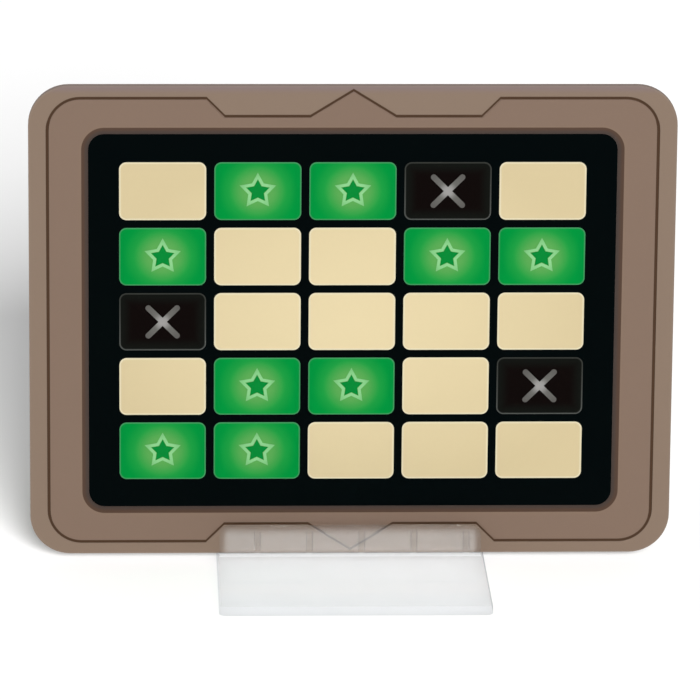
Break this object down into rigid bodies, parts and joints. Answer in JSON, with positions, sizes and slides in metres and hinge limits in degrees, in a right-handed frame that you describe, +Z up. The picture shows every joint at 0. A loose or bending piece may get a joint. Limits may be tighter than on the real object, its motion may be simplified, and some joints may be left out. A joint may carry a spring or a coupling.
{
  "type": "game key card in a stand",
  "caption": "Two-sided key card with a grid of coloured fields, held upright in a clear one-piece slotted stand, from which it lifts out.",
  "frame": {"origin": "under the middle of the stand, on the surface that it stands on", "axes": "+X along the card, to the right as its front is looked at; +Y to the back; +Z up. The front of the card faces -Y."},
  "size_m": [0.088, 0.0502, 0.0672],
  "materials": {
    "clear_plastic": "clear, polished",
    "board": "grey-brown paperboard, cut edge",
    "brown_liner": "satin laminated print",
    "black_panel": "satin laminated print",
    "cream_field": "satin laminated print",
    "green_field": "satin laminated print",
    "black_field": "satin laminated print",
    "star_print": "satin ink",
    "cross_print": "satin ink"
  },
  "bodies": {
    "stand": {"stand": "clear_plastic"},
    "card": {"core_board": "board", "front_liner": "brown_liner", "front_panel": "black_panel", "front_field_r1c1": "cream_field", "front_field_r1c2": "green_field", "front_field_r1c3": "green_field", "front_field_r1c4": "black_field", "front_field_r1c5": "cream_field", "front_field_r2c1": "green_field", "front_field_r2c2": "cream_field", "front_field_r2c3": "cream_field", "front_field_r2c4": "green_field", "front_field_r2c5": "green_field", "front_field_r3c1": "black_field", "front_field_r3c2": "cream_field", "front_field_r3c3": "cream_field", "front_field_r3c4": "cream_field", "front_field_r3c5": "cream_field", "front_field_r4c1": "cream_field", "front_field_r4c2": "green_field", "front_field_r4c3": "green_field", "front_field_r4c4": "cream_field", "front_field_r4c5": "black_field", "front_field_r5c1": "green_field", "front_field_r5c2": "green_field", "front_field_r5c3": "cream_field", "front_field_r5c4": "cream_field", "front_field_r5c5": "cream_field", "front_star_marks": "star_print", "front_cross_marks": "cross_print", "back_liner": "brown_liner", "back_panel": "black_panel", "back_field_r1c1": "cream_field", "back_field_r1c2": "cream_field", "back_field_r1c3": "green_field", "back_field_r1c4": "cream_field", "back_field_r1c5": "green_field", "back_field_r2c1": "green_field", "back_field_r2c2": "black_field", "back_field_r2c3": "cream_field", "back_field_r2c4": "cream_field", "back_field_r2c5": "cream_field", "back_field_r3c1": "cream_field", "back_field_r3c2": "green_field", "back_field_r3c3": "cream_field", "back_field_r3c4": "green_field", "back_field_r3c5": "cream_field", "back_field_r4c1": "cream_field", "back_field_r4c2": "cream_field", "back_field_r4c3": "green_field", "back_field_r4c4": "black_field", "back_field_r4c5": "green_field", "back_field_r5c1": "black_field", "back_field_r5c2": "green_field", "back_field_r5c3": "cream_field", "back_field_r5c4": "green_field", "back_field_r5c5": "cream_field", "back_star_marks": "star_print", "back_cross_marks": "cross_print"}
  },
  "joints": [
    {"name": "card_lift", "type": "slide", "parent": "stand", "child": "card", "axis": [0, 0, 1], "range_m": [0, 0.025]}
  ]
}
